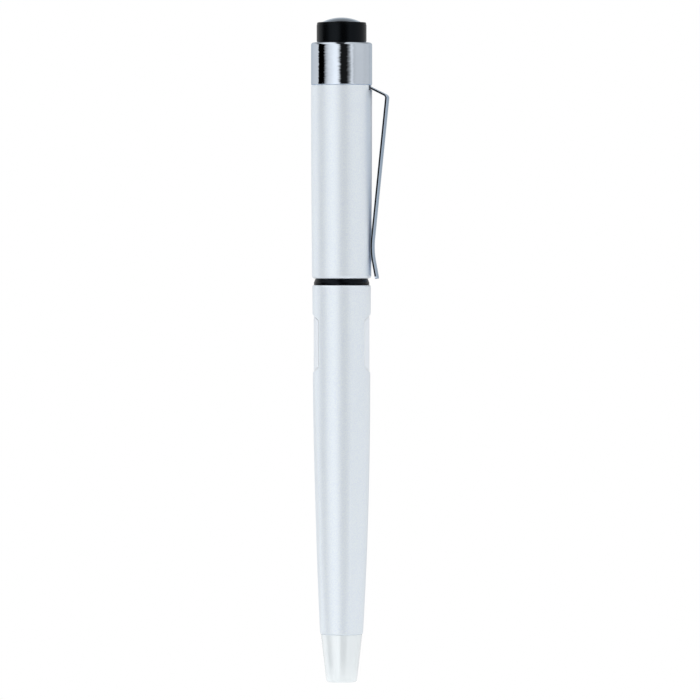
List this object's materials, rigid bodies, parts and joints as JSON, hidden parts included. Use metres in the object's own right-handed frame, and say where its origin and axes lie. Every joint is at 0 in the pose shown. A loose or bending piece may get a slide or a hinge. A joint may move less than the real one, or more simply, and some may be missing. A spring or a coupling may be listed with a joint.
{
  "type": "technical pen",
  "caption": "Capped technical drawing pen with a sprung pocket clip, chrome crown band and three long flats down a white barrel.",
  "frame": {"origin": "centre of the tail's flat end", "axes": "+Z along the pen from the tail to the crown, +X through the pocket clip"},
  "size_m": [0.0162, 0.0128, 0.1384],
  "materials": {
    "pearl_lacquer": "satin pearl-white lacquer with a fine grain",
    "window_white": "diffuse white translucent",
    "brass_turned": "turned",
    "tail_white": "gloss white",
    "black_satin": "satin black",
    "section_grey": "moulded, ribbed",
    "duct_plastic": "moulded",
    "seal_rubber": "moulded",
    "spring_steel": "bright drawn",
    "blue_chrome": "polished, cool grey-blue",
    "screw_steel": "zinc plated",
    "inner_cap_plastic": "moulded",
    "cup_plastic": "moulded",
    "nib_plastic": "moulded",
    "nib_steel": "ground",
    "band_colour": "moulded, line-width colour",
    "cartridge_clear": "translucent"
  },
  "bodies": {
    "barrel": {"barrel_shell": "pearl_lacquer", "window_pane_a": "window_white", "window_pane_b": "window_white", "barrel_bush": "brass_turned", "tail_plug": "tail_white"},
    "joint_ring": {"joint_ring": "black_satin"},
    "section": {"section_body": "section_grey", "ink_nipple": "duct_plastic", "section_seal": "seal_rubber"},
    "snap_ring": {"snap_ring": "spring_steel"},
    "cap": {"cap_shell": "pearl_lacquer", "cap_band": "blue_chrome", "crown_collar": "black_satin", "crown_dome": "blue_chrome", "crown_screw": "screw_steel", "joint_sleeve": "spring_steel", "inner_cap": "inner_cap_plastic", "seal_spring": "spring_steel"},
    "clip": {"clip": "blue_chrome"},
    "seal_cup": {"seal_cup": "cup_plastic", "seal_pad": "seal_rubber"},
    "nib": {"nib_body": "nib_plastic", "nib_tube": "nib_steel", "nib_plug": "nib_plastic", "line_band": "band_colour"},
    "needle": {"drop_weight": "brass_turned", "needle_wire": "nib_steel"},
    "cartridge": {"ink_cartridge": "cartridge_clear"}
  },
  "joints": [
    {"name": "section_turn", "type": "hinge", "parent": "barrel", "child": "joint_ring", "pos_m": [0, 0, 0.0834], "axis": [0, 0, 1], "continuous": true},
    {"name": "section_pull", "type": "slide", "parent": "joint_ring", "child": "section", "axis": [0, 0, 1], "range_m": [0, 0.046]},
    {"name": "cap_turn", "type": "hinge", "parent": "section", "child": "snap_ring", "pos_m": [0, 0, 0.089], "axis": [0, 0, 1], "continuous": true},
    {"name": "cap_pull", "type": "slide", "parent": "snap_ring", "child": "cap", "axis": [0, 0, 1], "range_m": [0, 0.044]},
    {"name": "clip_flex", "type": "hinge", "parent": "cap", "child": "clip", "pos_m": [0.0061, 0, 0.12379], "axis": [0, -1, 0], "range_deg": [0, 5], "stiffness_Nm_per_rad": 0.6},
    {"name": "seal_push", "type": "slide", "parent": "cap", "child": "seal_cup", "axis": [0, 0, 1], "range_m": [0, 0.0015], "stiffness_N_per_m": 300, "springref_m": -0.002, "deforming": ["seal_spring"]},
    {"name": "nib_turn", "type": "hinge", "parent": "section", "child": "nib", "pos_m": [0, 0, 0.1], "axis": [0, 0, 1], "continuous": true},
    {"name": "needle_drop", "type": "slide", "parent": "nib", "child": "needle", "axis": [0, 0, 1], "range_m": [0, 0.0035]},
    {"name": "cartridge_pull", "type": "slide", "parent": "section", "child": "cartridge", "axis": [0, 0, 1], "range_m": [-0.009, 0]}
  ]
}
